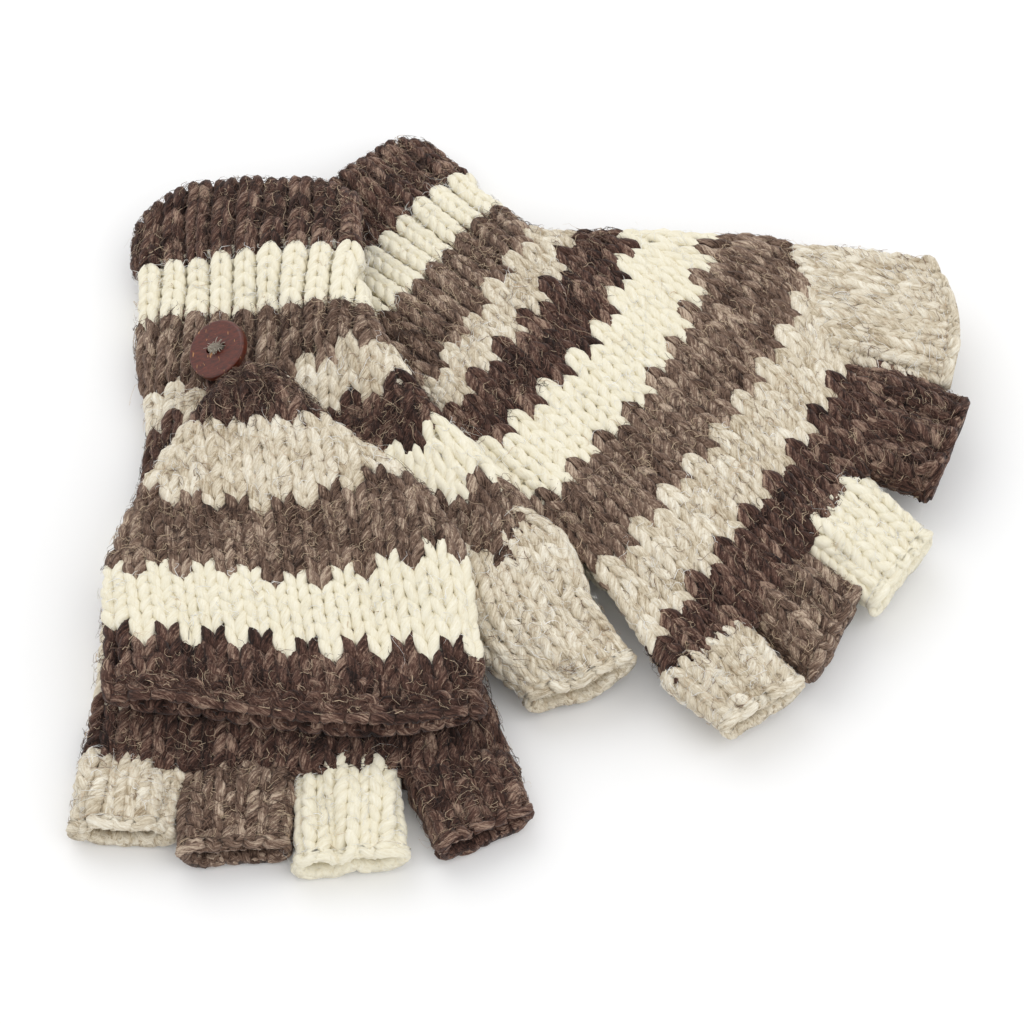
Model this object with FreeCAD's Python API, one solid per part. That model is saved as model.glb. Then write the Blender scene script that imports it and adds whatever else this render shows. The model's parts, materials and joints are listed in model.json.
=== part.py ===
import FreeCAD, Part
import math
import os

# A pair of hand-knitted convertible gloves: fingerless gloves whose mitten caps are folded back
# and buttoned. The left glove lies palm up with its cap folded under it. The right glove lies back
# up beside it, its wrist resting on the left wrist. Millimetres, +Z up, standing on z = 0, with the
# origin at the middle of the pair's footprint.

V = FreeCAD.Vector

# ---- driving dimensions -------------------------------------------------------------------------
HAND_THICKNESS = 12.0           # flattened tube of two knitted layers and the room between them
HAND_WALL = 2.9
CAP_THICKNESS = 10.4
CAP_WALL = 2.6
CAP_GAP = 0.8                   # room between the folded cap and the hand it lies on
RIM_WIDTH = 6.0                 # garter edge of the mitten cap
FINGER_GAP = 0.6                # between neighbouring finger tubes at the knuckle line
BUTTON_RADIUS = 9.25
BUTTON_THICKNESS = 3.2
BUTTON_EDGE = 0.8
BUTTON_HOLE_RADIUS = 1.1
BUTTON_HOLE_OFFSET = 2.1
BUTTON_SHANK = 4.8              # from the knitted wrist to the middle of the button's back
THREAD_RADIUS = 0.8
THREAD_CLEARANCE = 1.5          # between the button's thread and the knitting
LOOP_CORD_RADIUS = 0.8
LOOP_RADIUS = 4.9               # bend of the loop round the button's shank
RESTING_CUT = 0.05              # flattens the underside of the cap that the pair rests on
FLOOR_LIFT = 0.3                # rounded knitted undersides clear the surface by this much

# ---- the pair's layout --------------------------------------------------------------------------
# Each glove is set out in its own plan: s runs from the wrist opening to the fingertips, and t
# towards the thumb. A glove's plan is turned by its heading and moved to its wrist.
ORIGIN = V(6.45, 7.3, 0)        # the footprint's middle, taken off every wrist position
LEFT_WRIST = V(-38.0, 121.5, 0)
LEFT_HEADING = -48.0            # degrees from +X
RIGHT_WRIST = V(-59.0, 98.0, 0)
RIGHT_HEADING = -90.0

# Stations of a hand: (s and t on the thumb side, height, s and t on the little-finger side, height).
# Heights are those of the tube's middle. The knuckle part and the thumb start where the palm ends,
# each taking its share of the palm's last station.
LOW = HAND_THICKNESS / 2 + FLOOR_LIFT
ON_CAP = CAP_THICKNESS + CAP_GAP + HAND_THICKNESS / 2
LEFT_CUFF = [
    (-2, 16.5, LOW, 2, -54, LOW),
    (30, 16.5, 8.4, 30, -54, 8.4),
    (54, 22, 15.0, 54, -54, 15.0),
]
LEFT_PALM = [
    (54, 22, 15.0, 54, -54, 15.0),
    (75, 43, ON_CAP, 76, -54, ON_CAP),
    (112, 78, ON_CAP, 128, -58, ON_CAP),
]
LEFT_KNUCKLES = [
    (168, 58, ON_CAP, 196, -62, ON_CAP),
]
LEFT_THUMB = [
    (122, 88, 15.5, 146, 56, 16.0),
    (136, 100, 9.0, 171, 71, 9.0),
]
RIGHT_CUFF = [
    (-5, 15, 23.6, -4, -57, 8.5),
    (30, 15, 27.6, 30, -56, 8.5),
    (54, 23, 27.5, 54, -56, 7.3),
]
RIGHT_PALM = [
    (54, 23, 27.5, 54, -56, 7.3),
    (90, 48, 24.5, 90, -57, LOW),
    (125, 71, 18.0, 125, -58, LOW),
]
RIGHT_KNUCKLES = [
    (165, 50.5, 8.8, 165, -60, LOW),
    (186, 61, 7.0, 186, -61, LOW),
]
RIGHT_THUMB = [
    (140, 82, 17.0, 146, 52, 14.5),
    (155, 93.5, 13.0, 165.5, 54.5, 11.5),
]

LEFT_THUMB_SHARE = 0.22         # the thumb's share of the width where the palm ends
RIGHT_THUMB_SHARE = 0.198
THUMB_GAP = 0.01                # share between the thumb and the knuckle part

# Where the knuckle line divides into fingers, from the index finger's side to the little finger's,
# as shares of its length, and each finger's open end: (thumb side s, t), (other side s, t), height.
FINGERS = ["index_finger", "middle_finger", "ring_finger", "little_finger"]
LEFT_SHARES = [0.0, 0.27, 0.535, 0.765, 1.0]
LEFT_TIPS = [
    ((184, 67), (197, 33), 11.0),
    ((208, 28), (213, -2), 10.0),
    ((209, -4.5), (216.5, -30), 10.0),
    ((218, -34), (213, -60), 10.0),
]
RIGHT_SHARES = [0.0, 0.265, 0.505, 0.755, 1.0]
RIGHT_TIPS = [
    ((201, 66), (214, 39), LOW + 0.4),
    ((215, 30.5), (218, -0.5), LOW),
    ((212, -2.5), (215, -30), LOW),
    ((208, -32), (207, -62.5), LOW),
]

# Outline of a mitten cap: (s, t on the thumb side, s, t on the little-finger side), from its open
# edge to its gathered tip.
LEFT_CAP = [
    (154, 50, 182, -53),
    (138, 47, 158, -53.5),
    (122, 43, 134, -53),
    (110, 37, 116, -52),
    (102, 30, 104, -50),
    (94, 20, 95, -46),
    (87, 8, 87, -39),
    (81, -5, 81, -29),
]
RIGHT_CAP = [
    (172, 51, 172, -56),
    (150, 50, 150, -56),
    (128, 45, 128, -55.5),
    (113, 39, 113, -54),
    (104, 31, 104, -52),
    (95, 22, 95, -48),
    (87, 10, 87, -42),
    (80, -8, 80, -35),
]
CAVITY_END = 6                  # stations that the room inside a cap runs through
RESTING_BLOCK = (300, 300, 20)  # taken away below z = 0, centred under the pair
RESTING_CORNER = V(-150, -150, -20)

LEFT_BUTTON = (62.0, -17.0)     # s and t of each button's middle
RIGHT_BUTTON = (58.5, -24.0)
# How far each button's face leans, towards the fingertips and towards the thumb, for 1 upwards.
LEFT_BUTTON_LEAN = (0.0, 0.0)
RIGHT_BUTTON_LEAN = (0.20, -0.25)
LEFT_LOOP_LEVEL = 2.4           # middle of the loop's cord over the knitting
RIGHT_LOOP_LEVEL = 1.5


# ---- shape helpers ------------------------------------------------------------------------------
class Glove:
    """Places a glove's plan, s along and t towards the thumb, in the pair's frame."""

    def __init__(self, wrist, heading):
        angle = math.radians(heading)
        self.start = wrist - ORIGIN
        self.along = V(math.cos(angle), math.sin(angle), 0)
        self.thumbward = V(-math.sin(angle), math.cos(angle), 0)

    def at(self, s, t, z):
        return self.start + self.along * s + self.thumbward * t + V(0, 0, z)


def up_from(direction):
    """The upward direction square to a station's width."""
    up = V(0, 0, 1) - direction * direction.z
    return up.normalize()


def stadium(first, second, thickness):
    """A station's outline: two straight sides joined by half-rounds, out to first and second."""
    width = (second - first).normalize()
    half = up_from(width) * (thickness / 2)
    start = first + width * (thickness / 2)
    end = second - width * (thickness / 2)
    edges = [
        Part.LineSegment(start + half, end + half).toShape(),
        Part.Arc(end + half, second, end - half).toShape(),
        Part.LineSegment(end - half, start - half).toShape(),
        Part.Arc(start - half, first, start + half).toShape(),
    ]
    return Part.Wire(edges)


def loft(stations, thickness, inset=0.0):
    """A solid through stations, each a pair of points, drawn in by inset all round."""
    wires = []
    for first, second in stations:
        width = (second - first).normalize() * inset
        wires.append(stadium(first + width, second - width, thickness - 2 * inset))
    return Part.makeLoft(wires, True, True)


def tube(stations, thickness, wall):
    """A flattened tube, open at both ends."""
    return loft(stations, thickness).cut(loft(stations, thickness, wall))


def placed(glove, table):
    return [(glove.at(a, b, c), glove.at(d, e, f)) for a, b, c, d, e, f in table]


def finger_tubes(glove, knuckles, shares, tips):
    """Finger tubes from their shares of the knuckle line to their open ends."""
    first, second = knuckles[-1]
    across = second - first
    gap = across * (FINGER_GAP / 2 / across.Length)
    tubes = []
    for index, (outer, inner, height) in enumerate(tips):
        base = (first + across * shares[index] + gap, first + across * shares[index + 1] - gap)
        end = (glove.at(outer[0], outer[1], height), glove.at(inner[0], inner[1], height))
        tubes.append(tube([base, end], HAND_THICKNESS, HAND_WALL))
    return tubes


def hand(palm, knuckles):
    """The palm and the knuckle part in one tube, with a side opening where the thumb starts."""
    lower = tube(palm, HAND_THICKNESS, HAND_WALL)
    upper = tube(knuckles, HAND_THICKNESS, HAND_WALL)
    return lower.fuse(upper).removeSplitter()


def cap_parts(stations):
    """A cap closed at its gathered tip, and the garter rim round its open edge."""
    open_edge, second = stations[0], stations[1]
    share = RIM_WIDTH / (second[0] - open_edge[0]).Length
    seam = tuple(a + (b - a) * share for a, b in zip(open_edge, second))
    body_stations = [seam] + stations[1:]
    rim = tube([open_edge, seam], CAP_THICKNESS, CAP_WALL)
    room = loft(body_stations[:CAVITY_END], CAP_THICKNESS, CAP_WALL)
    body = loft(body_stations, CAP_THICKNESS).cut(room)
    return body, rim


def middle_height(stations, glove, s, t):
    """The height of a hand's middle surface over a place in its plan."""
    place = glove.at(s, t, 0)
    for (first, second), (third, fourth) in zip(stations, stations[1:]):
        ahead = [(end - place).dot(glove.along) for end in (first, second, third, fourth)]
        if min(ahead[0], ahead[1]) <= 0 <= max(ahead[2], ahead[3]):
            share = -ahead[0] / (ahead[2] - ahead[0])
            left, right = first + (third - first) * share, second + (fourth - second) * share
            across = (place - left).dot(glove.thumbward) / (right - left).dot(glove.thumbward)
            return left.z + (right.z - left.z) * across
    raise ValueError("no station at %s" % s)


def button(centre, axis):
    """A two-hole button with eased edges, its back at centre and its face along axis."""
    disc = Part.makeCylinder(BUTTON_RADIUS, BUTTON_THICKNESS, centre, axis)
    disc = disc.makeFillet(BUTTON_EDGE, disc.Edges)
    side = axis.cross(V(0, 1, 0)).normalize() * BUTTON_HOLE_OFFSET
    for place in (centre + side, centre - side):
        disc = disc.cut(Part.makeCylinder(BUTTON_HOLE_RADIUS, BUTTON_THICKNESS, place, axis))
    return disc


def button_thread(centre, axis):
    """Thread legs through both holes, joined over the button's face."""
    side = axis.cross(V(0, 1, 0)).normalize() * BUTTON_HOLE_OFFSET
    low = centre - axis * (BUTTON_SHANK - THREAD_CLEARANCE)
    top = centre + axis * (BUTTON_THICKNESS + THREAD_RADIUS)
    reach = (top - low).Length
    legs = [Part.makeCylinder(THREAD_RADIUS, reach, low + step, axis) for step in (side, side * -1)]
    bridge = Part.makeCylinder(THREAD_RADIUS, side.Length * 2, top - side, side)
    ends = [Part.makeSphere(THREAD_RADIUS, top + step) for step in (side, side * -1)]
    return legs[0].fuse([legs[1], bridge] + ends)


def button_loop(level, axis, ahead, reach):
    """A cord round the button's shank, both legs running ahead to the cap's tip."""
    across = axis.cross(ahead).normalize()
    ahead = across.cross(axis).normalize()
    left, right = level + across * LOOP_RADIUS, level - across * LOOP_RADIUS
    far = level - ahead * LOOP_RADIUS
    start, end = left + ahead * reach, right + ahead * reach
    path = Part.Wire([
        Part.LineSegment(start, left).toShape(),
        Part.Arc(left, far, right).toShape(),
        Part.LineSegment(right, end).toShape(),
    ])
    section = Part.Wire([Part.Circle(start, ahead, LOOP_CORD_RADIUS).toShape()])
    return path.makePipeShell([section], True, True)


def save(name, shape):
    solids = shape.Solids
    box = shape.BoundBox
    print("%-24s solids %d valid %s volume %8.0f  x %.1f %.1f  y %.1f %.1f  z %.2f %.2f" % (
        name, len(solids), shape.isValid(), shape.Volume,
        box.XMin, box.XMax, box.YMin, box.YMax, box.ZMin, box.ZMax))
    if len(solids) == 1:
        shape = solids[0]
    shape.exportStep("parts/%s.step" % name)


# ---- one glove ----------------------------------------------------------------------------------
def make_glove(side, glove, tables, cap_above, fastening):
    """Saves a glove's pieces. The cap lies above the hand or, on a glove laid palm up, below it."""
    cuff, palm, knuckles, thumb, thumb_share, shares, tips, cap_table = tables
    cuff, palm, knuckles, thumb = (placed(glove, table) for table in (cuff, palm, knuckles, thumb))
    edge, far_edge = palm[-1]
    width = far_edge - edge
    knuckles.insert(0, (edge + width * thumb_share, far_edge))
    thumb.insert(0, (edge, edge + width * (thumb_share - THUMB_GAP)))
    hand_shape = hand(palm, knuckles)
    save(side + "_cuff", tube(cuff, HAND_THICKNESS, HAND_WALL))
    save(side + "_hand", hand_shape)
    save(side + "_thumb", tube(thumb, HAND_THICKNESS, HAND_WALL).cut(loft(knuckles, HAND_THICKNESS)))
    for name, shape in zip(FINGERS, finger_tubes(glove, knuckles, shares, tips)):
        save(side + "_" + name, shape)

    facing = 1 if cap_above else -1
    offset = facing * (HAND_THICKNESS / 2 + CAP_GAP + CAP_THICKNESS / 2)
    if not cap_above:
        offset -= RESTING_CUT
    body = palm[:-1] + knuckles
    stations = []
    for a, b, c, d in cap_table:
        ends = [(a, b), (c, d)]
        stations.append(tuple(
            glove.at(s, t, middle_height(body, glove, s, t) + offset) for s, t in ends))
    cap, rim = cap_parts(stations)
    if not cap_above:
        under = Part.makeBox(*RESTING_BLOCK, RESTING_CORNER)
        cap, rim = cap.cut(under), rim.cut(under)
    save(side + "_mitten_cap", cap)
    save(side + "_cap_rim", rim)
    first, second = stations[0]
    hinge = (first - second) * (facing / (first - second).Length)
    middle = (first + second) * 0.5
    print("    cap hinge at %.3f %.3f %.3f mm, axis %.5f %.5f %.5f" % (*middle, *hinge))

    (s, t), lean, loop_level = fastening
    middle = glove.at(s, t, middle_height(body, glove, s, t))
    beside = glove.at(s, t + 1, middle_height(body, glove, s, t + 1))
    up = up_from((beside - middle).normalize()) * facing
    knit = middle + up * (HAND_THICKNESS / 2)
    centre = knit + up * BUTTON_SHANK
    axis = (up + glove.along * lean[0] + glove.thumbward * lean[1]).normalize()
    save(side + "_button", button(centre, axis))
    save(side + "_button_thread", button_thread(centre, axis))
    reach = cap_table[-1][0] - s
    save(side + "_button_loop", button_loop(knit + up * loop_level, up, glove.along, reach))
    print("    button turns at %.3f %.3f %.3f mm, axis %.5f %.5f %.5f" % (*centre, *axis))


os.makedirs("parts", exist_ok=True)
make_glove("left", Glove(LEFT_WRIST, LEFT_HEADING), (
    LEFT_CUFF, LEFT_PALM, LEFT_KNUCKLES, LEFT_THUMB, LEFT_THUMB_SHARE, LEFT_SHARES, LEFT_TIPS,
    LEFT_CAP,
), False, (LEFT_BUTTON, LEFT_BUTTON_LEAN, LEFT_LOOP_LEVEL))
make_glove("right", Glove(RIGHT_WRIST, RIGHT_HEADING), (
    RIGHT_CUFF, RIGHT_PALM, RIGHT_KNUCKLES, RIGHT_THUMB, RIGHT_THUMB_SHARE, RIGHT_SHARES,
    RIGHT_TIPS, RIGHT_CAP,
), True, (RIGHT_BUTTON, RIGHT_BUTTON_LEAN, RIGHT_LOOP_LEVEL))
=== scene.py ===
import json
import math

import bpy
import numpy as np
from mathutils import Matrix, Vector


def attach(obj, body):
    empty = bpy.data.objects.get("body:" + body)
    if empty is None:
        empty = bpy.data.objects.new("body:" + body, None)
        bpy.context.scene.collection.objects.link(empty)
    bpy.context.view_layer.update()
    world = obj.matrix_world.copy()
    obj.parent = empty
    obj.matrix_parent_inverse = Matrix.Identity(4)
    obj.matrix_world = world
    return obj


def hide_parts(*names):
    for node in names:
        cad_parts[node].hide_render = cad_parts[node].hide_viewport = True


# A pair of hand-knitted convertible gloves. Every stitch is a loop of yarn laid on the surface of a
# flattened knitted tube, so the V shapes, ribs, garter edges and colour changes are all geometry.
# Plan coordinates are in millimetres: s from the wrist to the fingertips, t towards the thumb.

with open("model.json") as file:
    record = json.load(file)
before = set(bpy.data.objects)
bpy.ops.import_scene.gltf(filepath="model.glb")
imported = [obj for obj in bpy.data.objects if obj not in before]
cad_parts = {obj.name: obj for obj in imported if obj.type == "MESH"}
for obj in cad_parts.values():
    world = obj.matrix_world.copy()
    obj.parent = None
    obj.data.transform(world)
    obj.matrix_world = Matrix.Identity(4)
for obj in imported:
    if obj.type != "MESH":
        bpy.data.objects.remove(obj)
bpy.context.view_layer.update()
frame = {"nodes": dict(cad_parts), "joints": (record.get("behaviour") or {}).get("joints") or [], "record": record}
record = frame["record"]

MM = 0.001
rng = np.random.default_rng(11)

# ---- driving values (millimetres unless they say otherwise) ----------------------------------------
STITCH = 6.7                # width of a knit stitch
ROW = 4.5                   # height of a row
COLUMNS = 14                # more columns than fit on either side of the reference wale
RIB_PITCH = 7.8             # one knit and one purl column of the ribbed cuff
RIB_KNIT_SHARE = 0.80
RIB_RECESS = {"rib": 0.75, "soft_rib": 0.35}    # how far a purl column sinks behind a knit one
RIB_LIFT = 0.25             # how far a knit column stands forward
RIB_ROOM = 1.6              # least room between a column's edge and the fabric's
YARN_WIDE = 1.54            # half width of the yarn in the fabric's plane
YARN_HIGH = 1.40            # half height square to it
PURL_WIDTH = 0.75           # a purl column's yarn against a knit one's
GARTER_THICK = 1.15         # garter yarn against plain yarn
GARTER_SINK = 0.2
LOOP_REACH = 0.97           # how far a loop reaches above and below its row, in rows
LOOP_LEAN = 0.215           # how far a loop's legs open towards its head, in stitch widths
LOOP_DEPTH = 0.80           # how far the legs stand in front of the loop's head
LEG_SWELL = 0.13            # how much thicker a leg is than the loop's head
LEAN_SPREAD = 0.16          # hand-knitted unevenness from stitch to stitch
REACH_SPREAD = 0.06
DEPTH_SPREAD = 0.16
SWELL_SPREAD = 0.05
SWAY = 0.05
FELTING = 0.05              # unevenness of the yarn's surface, as a share of its thickness
YARN_TWIST = 0.35           # turns of the spun fibres, in radians per millimetre
LINING_DEPTH = (1.0, 1.9)   # the fabric's felted inside, behind the yarn's middle
LINING_HALF = 0.55          # half height of one row's lining, in rows
FLOOR_ROOM = 2.0            # yarn closer to the surface than this is pressed flat
HAND_LAYER = 8.2            # between the two layers of a hand, measured at the yarn's middle
CUFF_EDGE_LAYER = 10.5
CAP_LAYER = 6.4
EDGE_INSET = 1.7            # yarn middle inside the glove's outline
ROLL_RADIUS = 1.5           # rolled edges of finger ends
FINGER_ROLL = 1.7           # how far a finger's edge rolls over, in radians
CUFF_ROLL = 2.6
SAMPLES = 18                # points along a stitch
SIDES = 8                   # sides of the yarn
HALF = 128                  # surface samples across one layer
FINE = 4                    # surface samples along a row
LINING_SAMPLES = 96         # samples round a tube's lining
EDGE_SAMPLES = 150          # samples round a tube's edge strand

DARK, MID, BEIGE, CREAM = "dark_brown", "mid_brown", "beige", "cream"


# ---- camera ------------------------------------------------------------------------------------------
def make_camera():
    elevation = math.radians(57.0)
    distance = 0.9
    target = Vector((-0.00645, -0.0073, 0.0))
    data = bpy.data.cameras.new("camera")
    data.lens = 107.58
    data.sensor_width = 36.0
    data.clip_start = 0.01
    data.clip_end = 20.0
    camera = bpy.data.objects.new("camera", data)
    bpy.context.scene.collection.objects.link(camera)
    away = Vector((0.0, -math.cos(elevation), math.sin(elevation)))
    camera.location = target + away * distance
    camera.rotation_euler = (-away).to_track_quat("-Z", "Y").to_euler()
    bpy.context.scene.camera = camera


# ---- smooth curves -----------------------------------------------------------------------------------
def hermite(values, knots, at):
    """Smooth interpolation through values given at increasing knots."""
    values = np.asarray(values, float)
    knots = np.asarray(knots, float)
    at = np.clip(np.asarray(at, float), knots[0], knots[-1])
    shape = (-1,) + (1,) * (values.ndim - 1)
    step = np.diff(knots).reshape(shape)
    rise = np.diff(values, axis=0) / step
    slope = np.empty_like(values)
    slope[0], slope[-1] = rise[0], rise[-1]
    if len(values) > 2:
        slope[1:-1] = (rise[:-1] * step[1:] + rise[1:] * step[:-1]) / (step[1:] + step[:-1])
    index = np.clip(np.searchsorted(knots, at, side="right") - 1, 0, len(knots) - 2)
    width = (knots[index + 1] - knots[index]).reshape(shape)
    x = ((at - knots[index]).reshape(shape)) / width
    a, b = values[index], values[index + 1]
    return (
        a * (2 * x**3 - 3 * x**2 + 1)
        + b * (3 * x**2 - 2 * x**3)
        + slope[index] * width * (x**3 - 2 * x**2 + x)
        + slope[index + 1] * width * (x**3 - x**2)
    )


def lengths(points):
    steps = np.linalg.norm(np.diff(points, axis=0), axis=1)
    return np.concatenate([[0.0], np.cumsum(steps)])


def even(points, count):
    """The same line as count evenly spaced points."""
    run = lengths(points)
    at = np.linspace(0, run[-1], count)
    return np.stack([np.interp(at, run, points[:, i]) for i in range(3)], axis=1)


def unit(vectors):
    return vectors / np.maximum(np.linalg.norm(vectors, axis=-1, keepdims=True), 1e-9)


# ---- a glove's plan ----------------------------------------------------------------------------------
def mount_named(name):
    return next(m for m in record["mounts"] if m["name"] == name)


class Plan:
    """Places a glove's plan in the frame, from its wrist opening, with the hand's resting height."""

    def __init__(self, side, wrist_place, height):
        mount = mount_named(side + "_wrist_opening")
        self.along = -np.array(mount["axis"])
        self.thumbward = np.array([-self.along[1], self.along[0], 0.0])
        wrist = np.array([mount["pos_m"][0], mount["pos_m"][1], 0.0]) / MM
        self.start = wrist - self.along * wrist_place[0] - self.thumbward * wrist_place[1]
        self.height = height

    def at(self, s, t, lift=0.0):
        place = self.start + self.along * s + self.thumbward * t
        return place + np.array([0.0, 0.0, self.height(s, t) + lift])


# Heights of each glove's middle: places along the glove, then the height at each.
LEFT_REST = ((0, 30, 54, 76, 170, 215), (6.3, 8.4, 15.0, 17.2, 17.2, 11.0))
RIGHT_THUMB_REST = ((-5, 30, 54, 90, 125, 165, 186, 215), (23.6, 27.6, 27.5, 24.5, 18, 8.8, 7, 6.5))
RIGHT_THUMB_EDGE = ((-5, 30, 54, 90, 125, 126, 165, 186), (15, 15, 23, 48, 60, 47, 50.5, 61))
RIGHT_LITTLE_REST = ((-5, 30, 54, 90), (8.5, 8.5, 7.3, 6.3))
RIGHT_LITTLE_EDGE = 57.0


def left_height(s, t):
    return float(np.interp(s, *LEFT_REST))


def right_height(s, t):
    """The right hand slopes from its thumb side, propped on the left wrist, to its other edge."""
    high = np.interp(s, *RIGHT_THUMB_REST)
    edge = np.interp(s, *RIGHT_THUMB_EDGE)
    low = np.interp(s, *RIGHT_LITTLE_REST)
    share = np.clip((t + RIGHT_LITTLE_EDGE) / (edge + RIGHT_LITTLE_EDGE), 0.0, 1.15)
    return float(low + (high - low) * share)


left_plan = Plan("left", (0.0, -18.75), left_height)
right_plan = Plan("right", (-4.5, -21.0), right_height)


# ---- knitted tubes -----------------------------------------------------------------------------------
EDGE_SQUARENESS = 6.0       # how blunt a flattened tube's sides are
RING_SAMPLES = 160
TURN_SAMPLES = 241


def ring(plan, points, layer, lift):
    """One closed round of a flattened tube: the front layer from the thumb side, then the back."""
    places = np.array([plan.at(s, t, lift) for s, t in points])
    run = lengths(places)
    line = even(hermite(places, run, np.linspace(0, run[-1], RING_SAMPLES)), RING_SAMPLES)
    width = unit(line[-1] - line[0])
    up = unit(np.array([0.0, 0.0, 1.0]) - width * width[2])
    turn = np.linspace(0, math.pi, TURN_SAMPLES)
    x = np.cos(turn)
    length = lengths(line)[-1]
    inset = min(EDGE_INSET, length * 0.3)
    at = inset + (1 - x) / 2 * (length - 2 * inset)
    run = np.linspace(0, length, len(line))
    middle = np.stack([np.interp(at, run, line[:, i]) for i in range(3)], axis=1)
    bulge = (layer / 2) * np.sqrt(np.clip(1 - np.abs(x) ** EDGE_SQUARENESS, 0, 1))
    front = middle + up * bulge[:, None]
    back = middle - up * bulge[:, None]
    return np.concatenate([even(front, HALF + 1)[:-1], even(back[::-1], HALF + 1)[:-1]])


def reference(points, line):
    """Share of a row's width at which the wale that runs along line crosses it."""
    (s0, t0), (s1, t1) = line
    places = np.array(points, float)
    side = (places[:, 1] - t0) - (places[:, 0] - s0) * (t1 - t0) / (s1 - s0)
    run = np.concatenate([[0], np.cumsum(np.hypot(*np.diff(places, axis=0).T))])
    cross = np.interp(0.0, -side, run) if side[0] > 0 else run[0]
    return float(np.clip(cross / run[-1], 0.05, 0.95))


RIPPLE_WAVES = 9
RIPPLE_TURNS = (2, 9)       # waves round a tube, and along it in radians a row
RIPPLE_PACE = (0.12, 0.55)
RIPPLE_HEIGHT = (0.1, 0.24)
STEADY_SHARE = 0.55         # of a side's width, where wales run true and don't follow the outline


class Tube:
    """The surface that a tube's yarn lies on, between control rows at whole numbers of rows."""

    def __init__(self, rings, knots, shares, roll_start=0, roll_end=0, roll_turn=CUFF_ROLL,
                 waves=1.4, worked=1.0):
        self.worked = worked        # -1 where the knitting was worked towards its first row
        at = np.arange(0, knots[-1] * FINE + 1) / FINE
        grid = hermite(np.array(rings), knots, at)
        share = hermite(np.array(shares).reshape(-1, 1), knots, at)[:, 0]
        self.first = 0.0
        self.last = float(knots[-1])
        grid = self.ripple(grid, waves)
        if roll_end:
            grid = np.concatenate([grid, self.roll(grid, -1, roll_end, 1.0, roll_turn)])
            share = np.concatenate([share, np.full(roll_end * FINE, share[-1])])
        if roll_start:
            extra = self.roll(grid, 0, roll_start, -1.0, roll_turn)
            grid = np.concatenate([extra[::-1], grid])
            share = np.concatenate([np.full(roll_start * FINE, share[0]), share])
            self.first = -float(roll_start)
        self.grid = grid
        self.normal = self.normals(grid)
        closed = np.concatenate([grid, grid[:, :1]], axis=1)
        steps = np.linalg.norm(np.diff(closed, axis=1), axis=2)
        self.width = steps[:, :HALF].sum(axis=1)
        self.share = share

    @staticmethod
    def normals(grid):
        across = np.roll(grid, -1, axis=1) - np.roll(grid, 1, axis=1)
        along = np.gradient(grid, axis=0)
        return unit(np.cross(across, along))

    @staticmethod
    def ripple(grid, strength):
        """Hand-knitted fabric never lies quite flat."""
        normal = Tube.normals(grid)
        rows, columns = np.meshgrid(
            np.arange(grid.shape[0]) / FINE, np.arange(grid.shape[1]) / grid.shape[1] * 2 * math.pi,
            indexing="ij")
        wave = np.zeros(rows.shape)
        for _ in range(RIPPLE_WAVES):
            turns = rng.integers(*RIPPLE_TURNS)
            pace = rng.uniform(*RIPPLE_PACE)
            phase = rng.uniform(0, 2 * math.pi)
            wave += rng.uniform(*RIPPLE_HEIGHT) * np.sin(turns * columns + pace * rows + phase)
        return grid + normal * (wave * strength)[:, :, None]

    @staticmethod
    def roll(grid, end, count, facing, turn):
        """Further rows that curl over at a tube's open end."""
        normal = Tube.normals(grid)[end]
        ahead = grid[end] - grid[end + 1 if end == 0 else end - 1]
        ahead = unit(ahead - normal * (ahead * normal).sum(axis=1, keepdims=True))
        angles = np.arange(1, count * FINE + 1) / (count * FINE) * turn
        rows = [
            grid[end] + ROLL_RADIUS * (math.sin(a) * ahead + (1 - math.cos(a)) * facing * normal)
            for a in angles
        ]
        return np.array(rows)

    def lookup(self, table, v):
        return np.interp((np.asarray(v) - self.first) * FINE, np.arange(len(table)), table)

    def surface(self, v, k):
        """Points and normals at rows v and places k round the tube."""
        rows = np.clip((v - self.first) * FINE, 0, len(self.grid) - 1.001)
        i = rows.astype(int)
        f = (rows - i)[..., None]
        k = np.mod(k, 2 * HALF)
        j = k.astype(int) % (2 * HALF)
        g = (k - np.floor(k))[..., None]
        nxt = (j + 1) % (2 * HALF)
        out = []
        for table in (self.grid, self.normal):
            low = table[i, j] * (1 - g) + table[i, nxt] * g
            high = table[i + 1, j] * (1 - g) + table[i + 1, nxt] * g
            out.append(low * (1 - f) + high * f)
        return out[0], unit(out[1])

    def place(self, q, back, row, v):
        """Where a point q mm from the reference wale of a row comes round the tube at v."""
        width0 = self.lookup(self.width, row)
        start0 = self.lookup(self.share, row) * width0
        width = self.lookup(self.width, v)
        start = self.lookup(self.share, v) * width
        room0 = np.where(q > 0, width0 - start0, start0)
        room = np.where(q > 0, width - start, start)
        pull = np.clip((np.abs(q) / room0 - STEADY_SHARE) / (1 - STEADY_SHARE), 0, 1) ** 2
        moved = q * (1 + pull * (room / room0 - 1))
        k = HALF * (start + moved) / width
        return np.where(back, 2 * HALF - k, k)


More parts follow.
